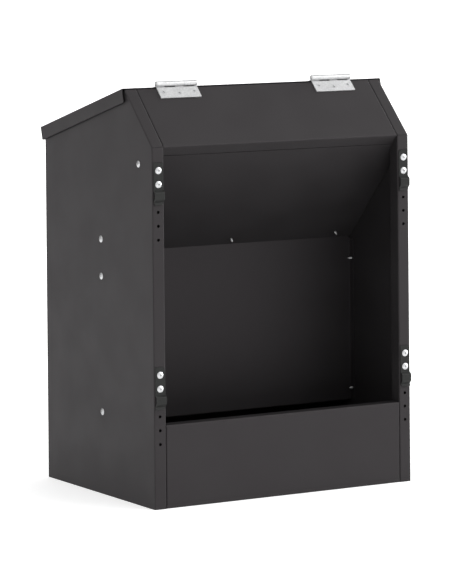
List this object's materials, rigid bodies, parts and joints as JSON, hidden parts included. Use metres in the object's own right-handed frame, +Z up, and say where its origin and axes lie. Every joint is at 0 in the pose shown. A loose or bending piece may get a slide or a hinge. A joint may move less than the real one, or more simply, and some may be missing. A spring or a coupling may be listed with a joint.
{
  "type": "gravity hopper box",
  "caption": "Sheet-steel gravity hopper box with a hinged sloping lid, an inner chute and baffle over an open trough, and frame hooks to hang it on a rail.",
  "frame": {"origin": "middle of the box's underside, half way between the open face and the back panel", "axes": "+Z up, the open face and its hooks look along -Y, +X to the right when looking at the back from the open face"},
  "size_m": [0.56, 0.4328, 0.7636],
  "materials": {
    "body_coat": "charcoal black powder coat, satin, very fine texture",
    "hook_coat": "dark grey coated steel strap, slightly greener than the body",
    "hinge_zinc": "bright zinc plate with a faint grain along the leaf",
    "fastener_zinc": "bright zinc plated screws, bolts and nuts"
  },
  "bodies": {
    "box": {"left_side_panel": "body_coat", "right_side_panel": "body_coat", "back_panel": "body_coat", "trough_pan": "body_coat", "header_panel": "body_coat", "chute_panel": "body_coat", "baffle_panel": "body_coat", "left_hinge_body_leaf": "hinge_zinc", "right_hinge_body_leaf": "hinge_zinc", "left_hinge_pin": "hinge_zinc", "right_hinge_pin": "hinge_zinc", "hinge_body_screws": "fastener_zinc", "hinge_body_nuts": "fastener_zinc", "left_upper_hook": "hook_coat", "left_lower_hook": "hook_coat", "right_upper_hook": "hook_coat", "right_lower_hook": "hook_coat", "hook_bolts": "fastener_zinc", "hook_nuts": "fastener_zinc", "side_screws": "fastener_zinc", "chute_screws": "fastener_zinc"},
    "lid": {"lid": "body_coat", "left_hinge_lid_leaf": "hinge_zinc", "right_hinge_lid_leaf": "hinge_zinc", "hinge_lid_screws": "fastener_zinc", "hinge_lid_nuts": "fastener_zinc"}
  },
  "joints": [
    {"name": "lid_hinge", "type": "hinge", "parent": "box", "child": "lid", "pos_m": [0, -0.10749, 0.75858], "axis": [1, 0, 0], "range_deg": [0, 235]}
  ]
}
